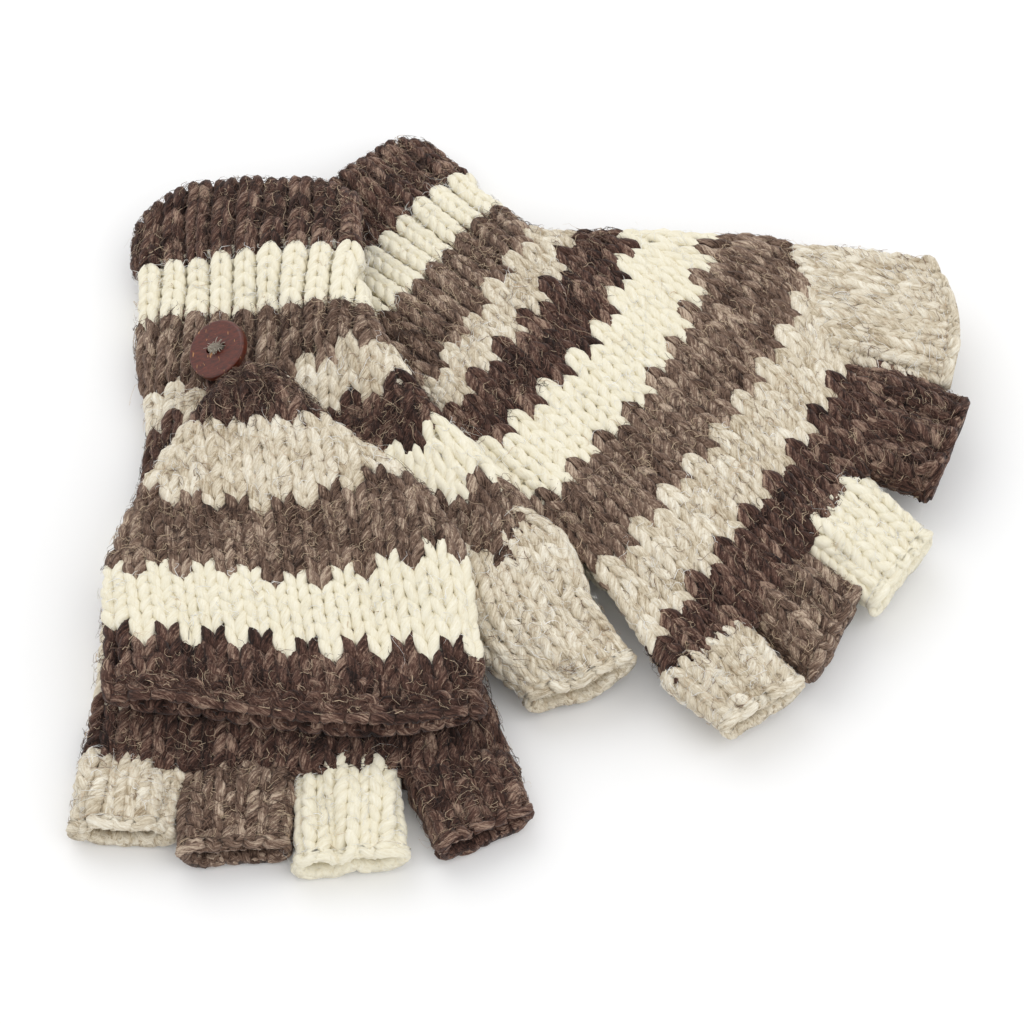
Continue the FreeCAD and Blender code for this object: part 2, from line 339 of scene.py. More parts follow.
class Pile:
    """Gathers closed yarn shapes that become one piece."""

    def __init__(self):
        self.points, self.yarn, self.tone, self.fours, self.caps = [], [], [], [], []
        self.count = 0

    def add(self, points, yarn, tone, fours, caps):
        self.points.append(points)
        self.yarn.append(yarn)
        self.tone.append(tone)
        self.fours.append(fours + self.count)
        if len(caps):
            self.caps.append(caps + self.count)
        self.count += len(points)

    def build(self, name, material):
        points = np.concatenate(self.points)
        low = points[:, 2] < FLOOR_ROOM
        points[low, 2] = FLOOR_ROOM * np.exp((points[low, 2] - FLOOR_ROOM) / FLOOR_ROOM)
        points *= MM
        fours = np.concatenate(self.fours)
        caps = np.concatenate(self.caps) if self.caps else np.zeros((0, 3), int)
        loops = np.concatenate([fours.ravel(), caps.ravel()])
        totals = np.concatenate([np.full(len(fours), 4), np.full(len(caps), caps.shape[1])])
        starts = np.concatenate([[0], np.cumsum(totals)[:-1]])
        mesh = bpy.data.meshes.new(name)
        mesh.vertices.add(len(points))
        mesh.vertices.foreach_set("co", points.astype(np.float32).ravel())
        mesh.loops.add(len(loops))
        mesh.loops.foreach_set("vertex_index", loops.astype(np.int32))
        mesh.polygons.add(len(totals))
        mesh.polygons.foreach_set("loop_start", starts.astype(np.int32))
        mesh.polygons.foreach_set("use_smooth", np.ones(len(totals), bool))
        mesh.update(calc_edges=True)
        yarn = mesh.attributes.new("yarn", "FLOAT_VECTOR", "POINT")
        yarn.data.foreach_set("vector", np.concatenate(self.yarn).astype(np.float32).ravel())
        tone = mesh.attributes.new("tone", "FLOAT", "POINT")
        tone.data.foreach_set("value", np.concatenate(self.tone).astype(np.float32))
        mesh.materials.append(material)
        piece = bpy.data.objects.new(name, mesh)
        bpy.context.scene.collection.objects.link(piece)
        return piece


def sweep(pile, line, normal, wide, high, closed, tone, start_length=0.0, sides=SIDES):
    """A closed tube of yarn along a line, flattened in the plane square to normal."""
    if closed:
        tangent = unit(np.roll(line, -1, axis=0) - np.roll(line, 1, axis=0))
        run = lengths(np.concatenate([line, line[:1]]))[:-1]
    else:
        tangent = unit(np.gradient(line, axis=0))
        run = lengths(line)
    side = unit(np.cross(tangent, normal))
    over = np.cross(side, tangent)
    angle = np.arange(sides) / sides * 2 * math.pi
    cos, sin = np.cos(angle), np.sin(angle)
    wide = np.broadcast_to(wide, len(line))[:, None, None]
    high = np.broadcast_to(high, len(line))[:, None, None]
    felt = 1 + FELTING * rng.standard_normal((len(line), sides, 1))
    points = (
        line[:, None, :]
        + side[:, None, :] * cos[None, :, None] * wide * felt
        + over[:, None, :] * sin[None, :, None] * high * felt
    ).reshape(-1, 3)
    spin = angle[None, :] + YARN_TWIST * run[:, None]
    along = np.repeat(run + start_length, sides)
    yarn = np.stack([along, np.cos(spin).ravel(), np.sin(spin).ravel()], axis=1)
    count = len(line)
    rows = np.arange(count if closed else count - 1)
    i, j = np.meshgrid(rows, np.arange(sides), indexing="ij")
    n, m = (i + 1) % count, (j + 1) % sides
    fours = np.stack([i * sides + j, i * sides + m, n * sides + m, n * sides + j], -1).reshape(-1, 4)
    if closed:
        caps = np.zeros((0, sides), int)
    else:
        caps = np.array([np.arange(sides)[::-1], (count - 1) * sides + np.arange(sides)])
    tones = np.full(len(points), tone) if np.isscalar(tone) else np.repeat(tone, sides)
    pile.add(points, yarn, tones, fours, caps)


def columns(tube, row, rib):
    """A row's stitches across one layer, from the reference wale: from, to, is purl, number."""
    width = tube.lookup(tube.width, row)
    start = tube.lookup(tube.share, row) * width
    low, high = -start, width - start
    if rib:
        half = RIB_PITCH * RIB_KNIT_SHARE / 2
        turns = np.arange(-COLUMNS, COLUMNS + 1) * RIB_PITCH
        edges = np.sort(np.concatenate([turns - half, turns + half]))
        room = RIB_ROOM
    else:
        edges = (np.arange(-COLUMNS, COLUMNS + 1) + 0.5) * STITCH
        room = STITCH * 0.5
    edges = edges[(edges > low + room) & (edges < high - room)]
    edges = np.concatenate([[low], edges, [high]])
    middle = (edges[:-1] + edges[1:]) / 2
    if rib:
        purl = np.abs(np.mod(middle / RIB_PITCH + 0.5, 1) - 0.5) > RIB_KNIT_SHARE / 2
        index = np.round(middle / RIB_PITCH).astype(int)
    else:
        purl = np.zeros(len(middle), bool)
        index = np.round(middle / STITCH).astype(int)
    return edges[:-1], edges[1:], purl, index


def knit_row(tube, row, rib=None, garter=False, thick=1.0):
    """The yarn of one row as a closed line. rib is how far its purl columns sink."""
    first, last, purl, index = columns(tube, row, rib is not None)
    count = len(first)
    begin = np.concatenate([first, last[::-1]])
    end = np.concatenate([last, first[::-1]])
    purl = np.concatenate([purl, purl[::-1]])
    index = np.concatenate([index, index[::-1]])
    back = np.repeat([False, True], count)
    number = 2 * count
    turn = (np.arange(SAMPLES) / SAMPLES * 2 - 1) * math.pi
    width = (end - begin)[:, None]
    lean = LOOP_LEAN * (1 + LEAN_SPREAD * rng.standard_normal((number, 1)))
    reach = LOOP_REACH * (1 + REACH_SPREAD * rng.standard_normal((number, 1)))
    q = (begin + end)[:, None] / 2 + width * (turn / (2 * math.pi) + lean * np.sin(2 * turn))
    sway = SWAY * np.sin(index[:, None] * 1.7 + row * 2.3)
    v = row + tube.worked * reach * np.cos(turn) + sway * (1 + np.cos(turn)) / 2
    facing = np.where(purl, -1.0, 1.0)[:, None] * (-1.0 if garter else 1.0)
    depth = -LOOP_DEPTH * facing * np.cos(2 * turn)
    depth = depth - np.where(purl, 2 * LOOP_DEPTH, 0.0)[:, None]
    if rib is not None:
        depth = depth - np.where(purl, rib, -RIB_LIFT)[:, None]
    if garter:
        depth = depth - GARTER_SINK
    depth = depth + DEPTH_SPREAD * rng.standard_normal((number, 1))
    k = tube.place(q, back[:, None], row, v)
    points, normals = tube.surface(v, k)
    points = points + normals * depth[..., None]
    swell = 1 + SWELL_SPREAD * rng.standard_normal((number, 1)) - LEG_SWELL * np.cos(turn * 2)
    wide = YARN_WIDE * thick * swell
    wide = wide * np.where(purl, PURL_WIDTH, 1.0)[:, None]
    high = YARN_HIGH * thick * swell
    return {
        "points": points, "normals": normals, "wide": wide, "high": high,
        "index": index, "back": back, "tone": rng.uniform(0, 1, number),
    }


YARN_PER_ROW = 173.0        # length that sets one row's fibres apart from the next one's
END_SQUEEZE = (0.55, 0.85)  # how the yarn narrows where its colour changes


def lay_row(node, knitted, colours, row):
    """Adds a row's yarn to the piles of its colours. Two colours take turns from stitch to stitch."""
    number = len(knitted["index"])
    points = knitted["points"].reshape(-1, 3)
    normals = knitted["normals"].reshape(-1, 3)
    wide, high = knitted["wide"].ravel(), knitted["high"].ravel()
    tone = np.repeat(knitted["tone"], SAMPLES)
    offset = row * YARN_PER_ROW
    if len(colours) == 1:
        sweep(pile_for(node, colours[0]), points, normals, wide, high, True, tone, offset)
        return
    turn_of = (knitted["index"] + knitted["back"]) % 2
    changes = np.flatnonzero(turn_of != np.roll(turn_of, 1))
    for here, there in zip(changes, np.roll(changes, -1)):
        span = (there - here) % number or number
        at = (np.arange(span * SAMPLES + 1) + here * SAMPLES) % (number * SAMPLES)
        colour = colours[turn_of[here]]
        squeeze = np.ones(len(at))
        squeeze[[0, -1]], squeeze[[1, -2]] = END_SQUEEZE
        sweep(pile_for(node, colour), points[at], normals[at], wide[at] * squeeze,
              high[at] * squeeze, False, tone[at], offset)


LINING_GRAIN = (2.0, 0.11)  # how its fibres stretch along and across the tube


def add_lining(pile, tube, first, last):
    """A thin closed band just behind the yarn, so that no light shows between stitches."""
    rows = np.linspace(first, last, max(2, int(round((last - first) * 2)) + 1))
    rows = np.clip(rows, tube.first, tube.first + (len(tube.grid) - 1.01) / FINE)
    v = np.concatenate([rows, rows[::-1]])
    depth = np.repeat(LINING_DEPTH, len(rows))
    around = LINING_SAMPLES
    k = np.arange(around) / around * 2 * HALF
    vv, kk = np.meshgrid(v, k, indexing="ij")
    points, normals = tube.surface(vv, kk)
    points = points - normals * depth[:, None, None]
    count = len(v)
    i, j = np.meshgrid(np.arange(count), np.arange(around), indexing="ij")
    n, m = (i + 1) % count, (j + 1) % around
    fours = np.stack([i * around + j, n * around + j, n * around + m, i * around + m], -1)
    yarn = np.stack([vv * ROW * LINING_GRAIN[0], kk * LINING_GRAIN[1], np.zeros(vv.shape)], -1)
    yarn = yarn.reshape(-1, 3)
    pile.add(points.reshape(-1, 3), yarn, np.zeros(yarn.shape[0]), fours.reshape(-1, 4), [])


EDGE_WANDER = (0.10, 0.06)  # of an edge strand, in rows, as two waves
EDGE_SWELL = (0.14, 0.09)   # of its thickness, as two waves
EDGE_SINK = 0.5


def add_edge(pile, tube, row, thick, phase):
    """A puffy cast-on or bound-off edge: one thick soft strand round the opening."""
    around = EDGE_SAMPLES
    k = np.arange(around) / around * 2 * HALF
    wander, ripple = EDGE_WANDER
    v = row - 0.1 + wander * np.sin(k * 0.21 + phase) + ripple * np.sin(k * 0.55)
    points, normals = tube.surface(v, k)
    swell, second = EDGE_SWELL
    swell = thick * (1 + swell * np.sin(k * 0.62) + second * np.sin(k * 0.37 + 1.0))
    sweep(pile, points - normals * EDGE_SINK, normals, swell * 1.1, swell, True, 0.5, row * 91.0)


# ---- materials ---------------------------------------------------------------------------------------
def linear(red, green, blue):
    """A colour given as eight-bit screen values."""
    def channel(value):
        value /= 255.0
        return value / 12.92 if value <= 0.04045 else ((value + 0.055) / 1.055) ** 2.4
    return (channel(red), channel(green), channel(blue), 1.0)


class Nodes:
    """Short forms for building a node tree."""

    def __init__(self, name):
        self.material = bpy.data.materials.new(name)
        self.material.use_nodes = True
        self.tree = self.material.node_tree
        self.tree.nodes.clear()
        self.output = self.tree.nodes.new("ShaderNodeOutputMaterial")
        self.shader = self.tree.nodes.new("ShaderNodeBsdfPrincipled")
        self.join(self.shader.outputs[0], self.output.inputs[0])

    def node(self, kind, **values):
        made = self.tree.nodes.new(kind)
        for key, value in values.items():
            setattr(made, key, value)
        return made

    def join(self, source, target):
        self.tree.links.new(source, target)

    def attribute(self, name):
        return self.node("ShaderNodeAttribute", attribute_name=name)

    def scaled(self, vector, scale):
        mapping = self.node("ShaderNodeMapping")
        mapping.inputs["Scale"].default_value = scale
        self.join(vector, mapping.inputs["Vector"])
        return mapping.outputs["Vector"]

    def noise(self, vector, scale, detail=2.0, roughness=0.5, distortion=0.0):
        made = self.node("ShaderNodeTexNoise")
        made.inputs["Scale"].default_value = scale
        made.inputs["Detail"].default_value = detail
        made.inputs["Roughness"].default_value = roughness
        made.inputs["Distortion"].default_value = distortion
        self.join(vector, made.inputs["Vector"])
        return made.outputs["Fac"]

    def ramp(self, factor, stops):
        made = self.node("ShaderNodeValToRGB")
        elements = made.color_ramp.elements
        while len(elements) < len(stops):
            elements.new(0.5)
        for element, (place, colour) in zip(elements, stops):
            element.position = place
            element.color = colour
        self.join(factor, made.inputs["Fac"])
        return made.outputs["Color"]

    def mix(self, factor, first, second, blend="MIX"):
        made = self.node("ShaderNodeMix", data_type="RGBA", blend_type=blend)
        for socket, value in ((made.inputs[0], factor), (made.inputs[6], first), (made.inputs[7], second)):
            if hasattr(value, "node"):
                self.join(value, socket)
            else:
                socket.default_value = value
        return made.outputs[2]

    def maths(self, kind, *values):
        made = self.node("ShaderNodeMath", operation=kind)
        for socket, value in zip(made.inputs, values):
            if hasattr(value, "node"):
                self.join(value, socket)
            else:
                socket.default_value = value
        return made.outputs[0]

    def bump(self, height, strength, distance):
        made = self.node("ShaderNodeBump")
        made.inputs["Strength"].default_value = strength
        made.inputs["Distance"].default_value = distance
        self.join(height, made.inputs["Height"])
        self.join(made.outputs["Normal"], self.shader.inputs["Normal"])

    def set(self, **values):
        for key, value in values.items():
            self.shader.inputs[key.replace("_", " ")].default_value = value


def wool(name, stops, streak=1.0, sheen=0.25, depth=0.6, mottle=0.6):
    """Spun wool: fibres of several shades lying along the yarn at its twist."""
    nodes = Nodes(name)
    yarn = nodes.attribute("yarn").outputs["Vector"]
    tone = nodes.attribute("tone").outputs["Fac"]
    fibres = nodes.noise(nodes.scaled(yarn, (0.30, 2.6 * streak, 2.6 * streak)), 1.0, 4.0, 0.65, 0.3)
    coarse = nodes.noise(nodes.scaled(yarn, (0.09, 0.7, 0.7)), 1.0, 2.0, 0.5)
    shade = nodes.maths("MULTIPLY_ADD", coarse, mottle, -mottle / 2)
    shade = nodes.maths("ADD", shade, fibres)
    lift = nodes.maths("MULTIPLY_ADD", tone, mottle * 0.3, -mottle * 0.15)
    shade = nodes.maths("ADD", shade, lift)
    nodes.join(nodes.ramp(shade, stops), nodes.shader.inputs["Base Color"])
    nodes.bump(fibres, depth, 0.0006)
    nodes.set(Roughness=0.92, Sheen_Weight=sheen, Sheen_Roughness=0.45)
    nodes.shader.inputs["Specular IOR Level"].default_value = 0.2
    return nodes.material


def fibre_material(name, colour):
    nodes = Nodes(name)
    yarn = nodes.attribute("yarn").outputs["Vector"]
    shade = nodes.noise(nodes.scaled(yarn, (0.15, 0.4, 0.4)), 1.0, 1.0)
    dark = tuple(c * 0.8 for c in colour[:3]) + (1.0,)
    light = tuple(min(1.0, c * 1.25) for c in colour[:3]) + (1.0,)
    nodes.join(nodes.ramp(shade, [(0.3, dark), (0.7, light)]), nodes.shader.inputs["Base Color"])
    nodes.set(Roughness=0.7)
    return nodes.material


WOOLS = {
    DARK: wool("dark_brown_wool", [
        (0.30, linear(28, 16, 12)), (0.44, linear(66, 45, 38)), (0.56, linear(97, 71, 61)),
        (0.72, linear(162, 137, 119))], 1.25, 0.12),
    MID: wool("mid_brown_wool", [
        (0.28, linear(46, 32, 24)), (0.43, linear(98, 77, 65)), (0.56, linear(133, 111, 96)),
        (0.72, linear(196, 176, 155))], 1.3, 0.12),
    BEIGE: wool("beige_wool", [
        (0.26, linear(156, 138, 112)), (0.42, linear(202, 189, 165)), (0.56, linear(222, 212, 192)),
        (0.72, linear(240, 234, 218))], 1.2, 0.2, 0.5, 0.5),
    CREAM: wool("cream_wool", [
        (0.25, linear(220, 209, 182)), (0.45, linear(232, 225, 202)), (0.6, linear(237, 231, 211)),
        (0.75, linear(244, 239, 223))], 1.0, 0.2, 0.25, 0.2),
}
FIBRES = {
    "dark": fibre_material("dark_fibre", linear(60, 40, 33)),
    "middle": fibre_material("middle_fibre", linear(127, 102, 87)),
    "light": fibre_material("light_fibre", linear(200, 178, 150)),
    "cream": fibre_material("cream_fibre", linear(250, 247, 236)),
}


# ---- fibres ------------------------------------------------------------------------------------------
FIBRE_STEPS = 6
FIBRE_RADIUS = (0.07, 0.14)
FIBRE_LENGTH = {True: (9, 18), False: (2.2, 7.0)}       # long stray fibres and short ones
FIBRE_RISE = {True: (1.5, 5.0), False: (0.1, 0.8)}
FIBRE_FINENESS = {True: 0.5, False: 1.0}
FIBRE_TAPER = 0.7
FIBRE_BEND = 2.2            # radians along a fibre
FIBRE_CURL = (0.4, 1.6)
FIBRE_WAVES = (3, 8)
FIBRE_SINK = (0.1, 1.0)     # how far below the top of the yarn a fibre starts
BACK_SHARE = 0.4            # of the fibres, those on the tube's back layer


def add_fibres(pile, tube, rows, count, long=False):
    """Curly wool fibres that lie over the yarn, starting anywhere in the given rows."""
    if count < 1:
        return
    steps = FIBRE_STEPS
    row = rng.choice(rows, count) + rng.uniform(-0.5, 0.5, count)
    back = rng.random(count) < BACK_SHARE
    width = tube.lookup(tube.width, row)
    start = tube.lookup(tube.share, row) * width
    q = rng.uniform(0, 1, count) * width - start
    reach = rng.uniform(*FIBRE_LENGTH[long], count)
    heading = rng.uniform(0, 2 * math.pi, count)
    bend = rng.normal(0, FIBRE_BEND, count)
    curl = rng.uniform(*FIBRE_CURL, count)
    pace = rng.uniform(*FIBRE_WAVES, count)
    share = np.linspace(0, 1, steps)[None, :]
    angle = heading[:, None] + bend[:, None] * share + curl[:, None] * np.sin(pace[:, None] * share)
    step = reach[:, None] / (steps - 1)
    dq = np.cumsum(np.cos(angle) * step, axis=1) - np.cos(angle[:, :1]) * step
    dv = (np.cumsum(np.sin(angle) * step, axis=1) - np.sin(angle[:, :1]) * step) / ROW
    v = np.clip(row[:, None] + dv, tube.first + 0.1, tube.last)
    low = (-start)[:, None]
    high = (width - start)[:, None]
    across = np.clip(q[:, None] + dq, low, high)
    k = tube.place(across, back[:, None], row[:, None], v)
    points, normals = tube.surface(v, k)
    rise = rng.uniform(*FIBRE_RISE[long], count)
    base = YARN_HIGH + LOOP_DEPTH * 0.9 - rng.uniform(*FIBRE_SINK, count)[:, None]
    height = base + 0.4 * share + rise[:, None] * np.sin(share * math.pi * 0.7)
    points = points + normals * height[..., None]
    fine = FIBRE_FINENESS[long]
    thick = fine * rng.uniform(*FIBRE_RADIUS, count)[:, None] * (1 - FIBRE_TAPER * share)
    thick = thick[..., None, None]
    tangent = unit(np.gradient(points, axis=1))
    side = unit(np.cross(tangent, normals))
    over = np.cross(side, tangent)
    turn = np.arange(3) / 3 * 2 * math.pi
    ring3 = (
        points[:, :, None, :]
        + side[:, :, None, :] * np.cos(turn)[None, None, :, None] * thick
        + over[:, :, None, :] * np.sin(turn)[None, None, :, None] * thick
    )
    each = steps * 3
    local = []
    for i in range(steps - 1):
        for j in range(3):
            m = (j + 1) % 3
            local.append((i * 3 + j, i * 3 + m, (i + 1) * 3 + m, (i + 1) * 3 + j))
    caps = np.array([(2, 1, 0), (each - 3, each - 2, each - 1)])
    shift = (np.arange(count) * each)[:, None, None]
    fours = (np.array(local)[None] + shift).reshape(-1, 4)
    caps = (caps[None] + shift).reshape(-1, 3)
    tone = np.repeat(rng.random(count), each)
    yarn = np.repeat(rng.uniform(0, 50, (count, 3)), each, axis=0)
    pile.add(ring3.reshape(-1, 3), yarn, tone, fours, caps)


# ---- knitting a part of a glove ----------------------------------------------------------------------
pieces_made = {}
fibre_piles = {}


def pile_for(node, colour):
    return pieces_made.setdefault((node, colour), Pile())


def fibres_for(node, shade):
    return fibre_piles.setdefault((node, shade), Pile())


# Fibres of each shade laid over FIBRE_WIDTH of a row.
FIBRES_PER_ROW = {
    DARK: {"dark": 84, "middle": 52, "light": 20},
    MID: {"dark": 54, "middle": 72, "light": 40},
    BEIGE: {"middle": 14, "light": 24, "cream": 34},
    CREAM: {"cream": 34, "light": 2},
}


FIBRE_WIDTH = 35.0          # width of knitting that the numbers of fibres are given for
LONG_FIBRES = 0.7           # long stray fibres laid over the same width


def knit(tube, plan_rows):
    """Knits a tube. plan_rows lists (row, node, colours, style) in order."""
    for row, node, colours, style in plan_rows:
        garter = style == "garter"
        knitted = knit_row(tube, row, RIB_RECESS.get(style), garter, GARTER_THICK if garter else 1.0)
        lay_row(node, knitted, colours, row)
        add_lining(pile_for(node, colours[-1]), tube, row - LINING_HALF, row + LINING_HALF)
    for colour in (DARK, MID, BEIGE, CREAM):
        rows = np.array([r[0] for r in plan_rows if r[2] == (colour,)])
        if not len(rows):
            continue
        width = tube.lookup(tube.width, rows).mean()
        amount = len(rows) * width / FIBRE_WIDTH
        node = plan_rows[-1][1]
        for shade, often in FIBRES_PER_ROW[colour].items():
            add_fibres(fibres_for(node, shade), tube, rows, int(amount * often))
        shade = "cream" if colour in (CREAM, BEIGE) else "light"
        add_fibres(fibres_for(node, shade), tube, rows, int(amount * LONG_FIBRES), long=True)


def rows_from(bands, node_of, first=0.0):
    """Row list from bands of (colour, rows, style, mixed first row)."""
    made = []
    at = first
    before = None
    for colour, count, style, mixed in bands:
        for i in range(count):
            colours = (before, colour) if mixed and i == 0 and before else (colour,)
            made.append((at + i + 0.5, node_of(at + i), colours, style))
        at += count
        before = colour
    return made


def build_tube(plan, controls, layer, line=None, lift=0.0, **rolls):
    """A tube through control rows: (number of rows from the one before, its points)."""
    knots = np.cumsum([c[0] for c in controls])
    rings = [ring(plan, c[1], c[2] if len(c) > 2 else layer, lift) for c in controls]
    shares = [reference(c[1], line) if line else 0.5 for c in controls]
    return Tube(rings, knots, shares, **rolls)


# ---- the right glove, back up, its cap folded back and buttoned -------------------------------------
RIGHT_MAIN = [
    (0, [(1, 13), (-4, 0), (-8, -25), (-6, -42), (0, -52), (8, -57)], CUFF_EDGE_LAYER),
    (5, [(22, 15), (20, 0), (19, -22), (18, -42), (18, -57)]),
    (5, [(45, 17), (42, 0), (41, -22), (39, -40), (38, -54)]),
    (4, [(53, 22), (56, 8), (61, -12), (63, -36), (61, -51)]),
    (3, [(67, 30), (72, 14), (75, -5), (73, -25), (72, -50)]),
    (5, [(80, 39), (90, 27), (98, 5), (100, -20), (99, -51)]),
    (4, [(97, 55), (107, 40), (117, 15), (121, -15), (120, -55)]),
    (5, [(121, 68), (129, 44), (138, 15), (142, -15), (142, -58)]),
    (5, [(150, 50), (155, 44), (163, 15), (165, -15), (165, -59)]),
    (5, [(189, 62), (190, 30), (190, 0), (189, -32), (187, -61)]),
]
RIGHT_BANDS = [
    (DARK, 5, "rib", False), (CREAM, 5, "rib", False), (MID, 4, "soft_rib", False),
    (BEIGE, 3, "knit", True), (DARK, 5, "knit", True), (CREAM, 4, "knit", True),
    (MID, 5, "knit", True), (BEIGE, 5, "knit", True), (DARK, 5, "knit", True),
]
CUFF_ROWS = 12
WALE_LINE = ((0, -20), (200, -20))         # the reference wale of a hand, and of a cap
CAP_WALE_LINE = ((80, -18), (178, 0))

LEFT_MAIN = [
    (0, [(0, 17), (-4, 10), (-4, -18), (-2, -36), (2, -54)], CUFF_EDGE_LAYER),
    (5, [(17, 18), (17, 2), (19, -14), (22, -34), (22, -54)]),
    (5, [(36, 15), (38, -5), (43, -25), (46, -40), (47, -54)]),
    (4, [(49, 15), (55, -1), (62, -18), (69, -38), (76, -54)]),
    (3, [(59, 20), (69, 4), (75, -14), (81, -36), (86, -54)]),
    (4, [(71, 33), (83, 18), (94, -2), (99, -28), (102, -55)]),
    (5, [(88, 50), (106, 24), (118, -3), (124, -35), (128, -57)]),
    (6, [(114, 68), (129, 44), (140, 12), (148, -20), (155, -59)]),
    (5, [(148, 50), (159, 23), (167, -5), (175, -38), (181, -62)]),
    (5, [(166, 58), (183, 25), (190, -8), (197, -35), (197, -66)]),
]
LEFT_BANDS = [
    (DARK, 5, "rib", False), (CREAM, 5, "rib", False), (MID, 4, "soft_rib", False),
    (BEIGE, 3, "knit", True), (DARK, 4, "knit", True), (CREAM, 5, "knit", True),
    (MID, 6, "knit", True), (BEIGE, 5, "knit", True), (DARK, 5, "knit", True),
]

RIGHT_THUMB_TUBE = [
    (0, [(113, 62), (122, 34)], 5.0),
    (2, [(119, 71), (130, 38)], 9.0),
    (5, [(139, 83), (150, 45)], 9.5),
    (5, [(153, 92), (161, 79), (165, 62)], 7.5),
]
LEFT_THUMB_TUBE = [
    (0, [(109, 66), (142, 45)], 5.0),
    (2, [(117, 73), (149, 49)], 9.0),
    (4, [(129, 84), (150, 74), (166, 54)], 9.5),
    (4, [(139, 92), (162, 80), (176, 62)], 7.5),
]
# Fingers: (base thumb side, base other side, tip thumb side, tip other side, rows, colour)
RIGHT_FINGERS = {
    "index_finger": ((189, 61), (190, 29), (199, 63), (211, 38), 5, DARK),
    "middle_finger": ((190, 29), (190, -1), (212, 29.5), (215, 0), 6, CREAM),
    "ring_finger": ((190, -1), (190, -31), (209, -2), (212, -31), 6, MID),
    "little_finger": ((190, -31), (189, -61), (205, -32), (204, -62), 5, BEIGE),
}
LEFT_FINGERS = {
    "index_finger": ((160, 57), (183, 25), (182, 65), (197, 33), 5, DARK),
    "middle_finger": ((183, 25), (190, -7), (206, 26), (212, -4), 6, CREAM),
    "ring_finger": ((190, -7), (197, -34), (206, -5), (216, -32), 5, MID),
    "little_finger": ((197, -35), (197, -66), (216, -37), (212, -63), 5, BEIGE),
}
CAP_ROWS_RIGHT = [
    (0, [(69, -9), (68, -15), (70, -23)], 6.0),
    (2, [(77, -2), (75, -14), (76, -30)], 8.0),
    (2, [(86, 7), (86, -14), (84, -36)]),
    (5, [(101, 27), (108, 10), (112, -8), (109, -28), (102, -48)]),
    (6, [(127, 46), (131, 26), (136, 0), (131, -28), (130, -56)]),
    (5, [(157, 51), (156, 31), (157, 7), (153, -16), (149, -56)]),
    (3, [(169, 52), (172, 29), (171, 4), (167, -22), (164, -56)]),
    (2, [(176, 52), (180, 28), (179, 1), (174, -26), (171, -55)]),
]
CAP_ROWS_LEFT = [
    (0, [(70, -15), (69, -19), (70, -23)], 5.0),
    (2, [(77, -9), (75, -18), (76, -29)]),
    (2, [(86, 6), (88, -14), (87, -36)]),
    (5, [(101, 30), (106, 8), (107, -10), (106, -30), (103, -49)]),
    (6, [(124, 43), (132, 15), (136, -12), (138, -53)]),
    (5, [(140, 47), (150, 15), (157, -20), (161, -53)]),
    (2, [(147, 49), (158, 12), (166, -25), (172, -53)]),
    (2, [(154, 50), (165, 15), (174, -20), (182, -53)]),
]
CAP_BANDS = [
    (DARK, 4, "knit", False), (BEIGE, 5, "knit", False), (MID, 6, "knit", True),
    (CREAM, 5, "knit", True), (DARK, 3, "knit", True), (DARK, 2, "garter", False),
]
CAP_BANDS_LEFT = CAP_BANDS[:4] + [(DARK, 2, "knit", True), (DARK, 2, "garter", False)]
RIGHT_CAP_LIFT = 12.0
LEFT_CAP_LIFT = -12.0
CAST_ON_ROW = -0.45
CUFF_EDGE_ROW = -0.9
CUFF_EDGE_RADIUS = 2.0
FINGER_BURIED = 5.0         # how far a finger's knitting starts inside the hand's


def knit_hand(side, plan, controls, bands):
    tube = build_tube(plan, controls, HAND_LAYER, WALE_LINE, roll_start=1)
    rows = rows_from(bands, lambda at: side + ("_cuff" if at < CUFF_ROWS else "_hand"))
    rows.insert(0, (CAST_ON_ROW, side + "_cuff", (DARK,), "rib"))
    knit(tube, rows)
    add_edge(pile_for(side + "_cuff", DARK), tube, CUFF_EDGE_ROW, CUFF_EDGE_RADIUS, 0.0)


def knit_thumb(side, plan, controls):
    tube = build_tube(plan, controls, HAND_LAYER, roll_end=1, roll_turn=FINGER_ROLL, waves=2.6)
    total = int(tube.last)
    node = side + "_thumb"
    rows = [(i + 0.5, node, (BEIGE,), "knit") for i in range(total + 1)]
    knit(tube, rows)
    add_edge(pile_for(node, BEIGE), tube, total + 0.7, 1.5, 2.0)


def knit_finger(side, plan, name, shape):
    base, base_far, tip, tip_far, count, colour = shape
    ahead = unit(np.array(tip) - np.array(base)) * FINGER_BURIED
    ahead_far = unit(np.array(tip_far) - np.array(base_far)) * FINGER_BURIED
    inner = [tuple(np.array(base) - ahead), tuple(np.array(base_far) - ahead_far)]
    middle = [tuple((np.array(base) + tip) / 2), tuple((np.array(base_far) + tip_far) / 2)]
    half = count / 2
    controls = [
        (0, inner, HAND_LAYER - 3.5),
        (1, [base, base_far], HAND_LAYER + 0.7),
        (half, middle, HAND_LAYER + 0.6),
        (half, [tip, tip_far], HAND_LAYER - 1.6),
    ]
    tube = build_tube(plan, controls, HAND_LAYER, roll_end=1, roll_turn=FINGER_ROLL, waves=2.0)
    node = side + "_" + name
    rows = [(i + 0.5, node, (colour,), "knit") for i in range(count + 2)]
    knit(tube, rows)
    add_edge(pile_for(node, colour), tube, count + 1.7, 1.45, 1.0)


def knit_cap(side, plan, controls, lift, bands):
    tube = build_tube(plan, controls, CAP_LAYER, CAP_WALE_LINE, lift, worked=-1.0)
    last = int(tube.last)
    rows = rows_from(bands, lambda at: side + ("_cap_rim" if at >= last - 2 else "_mitten_cap"))
    knit(tube, rows)


